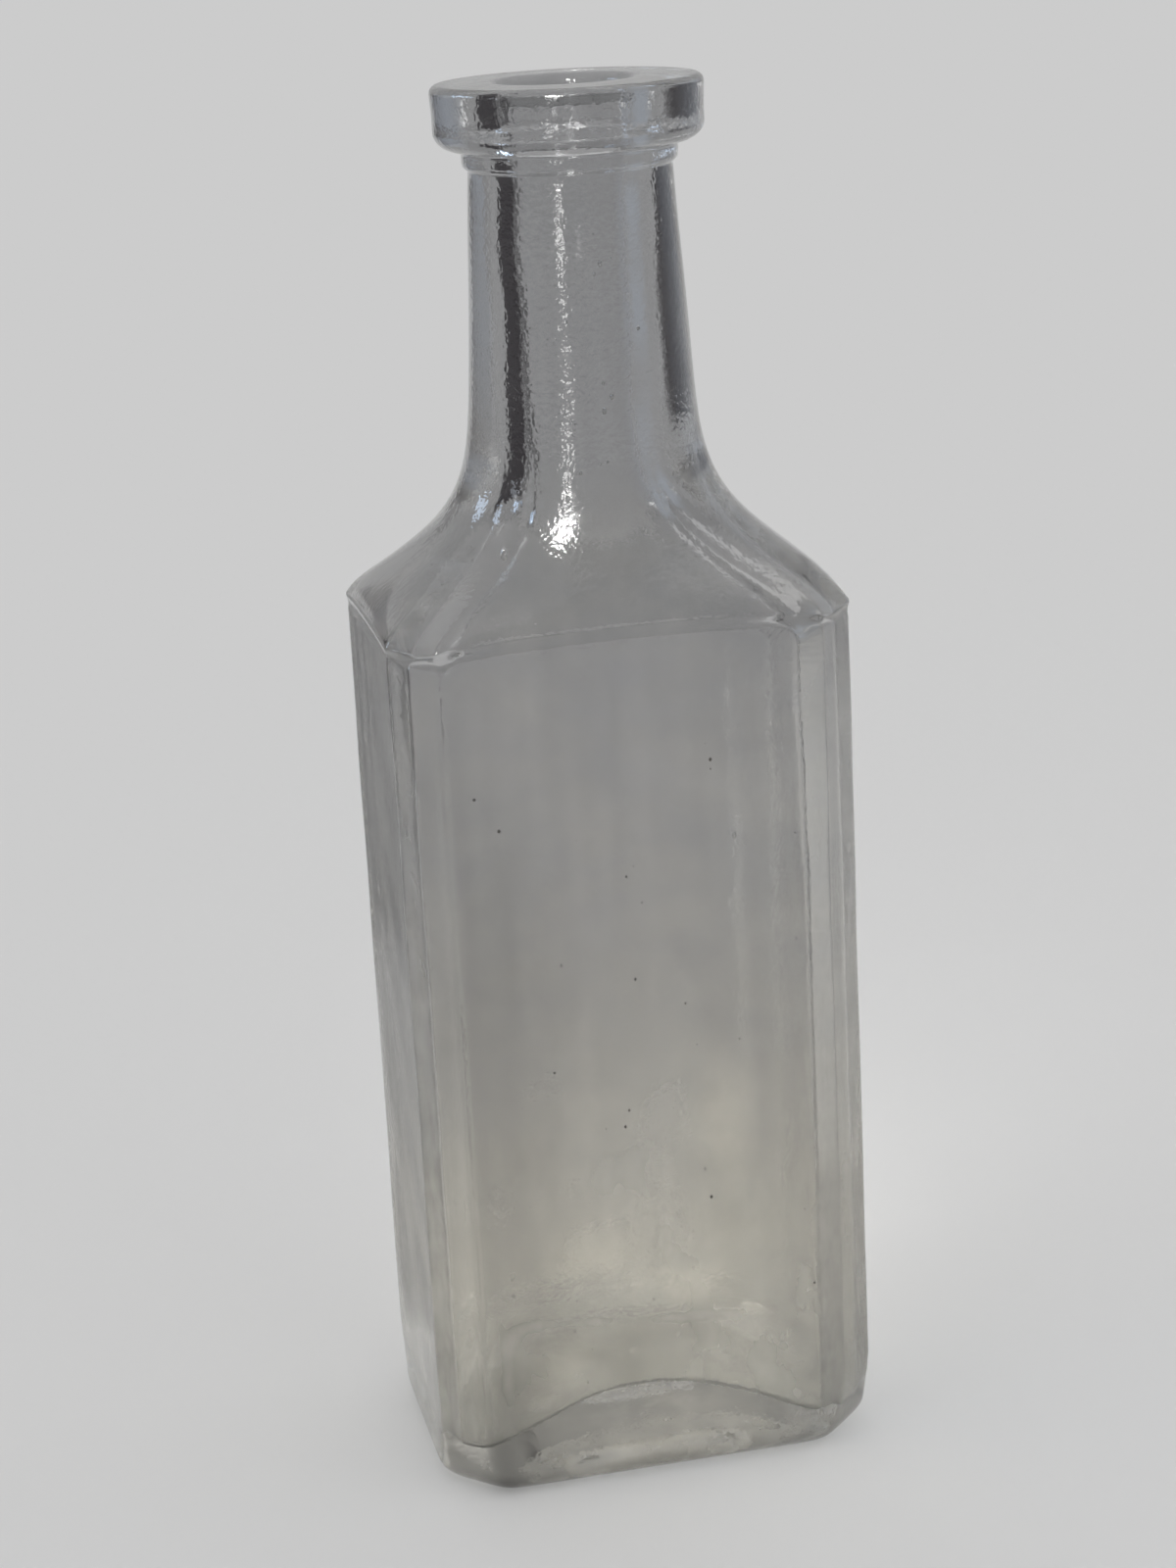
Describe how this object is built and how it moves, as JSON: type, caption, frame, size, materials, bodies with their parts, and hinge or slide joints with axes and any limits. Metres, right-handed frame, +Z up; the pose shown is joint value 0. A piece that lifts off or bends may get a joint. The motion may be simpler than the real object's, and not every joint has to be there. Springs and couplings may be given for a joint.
{
  "type": "antique medicine bottle",
  "caption": "Empty clear glass medicine bottle with a rectangular bevelled body, hipped shoulder, round neck and heavy flat lip.",
  "frame": {"origin": "centre of the base, at the plane that the bottle rests on", "axes": "+Z up along the neck, wide front face towards -Y, width along X"},
  "size_m": [0.05, 0.0352, 0.152],
  "materials": {
    "glass": "gloss, slightly hazed by age"
  },
  "bodies": {
    "root": {"bottle": "glass"}
  },
  "joints": []
}
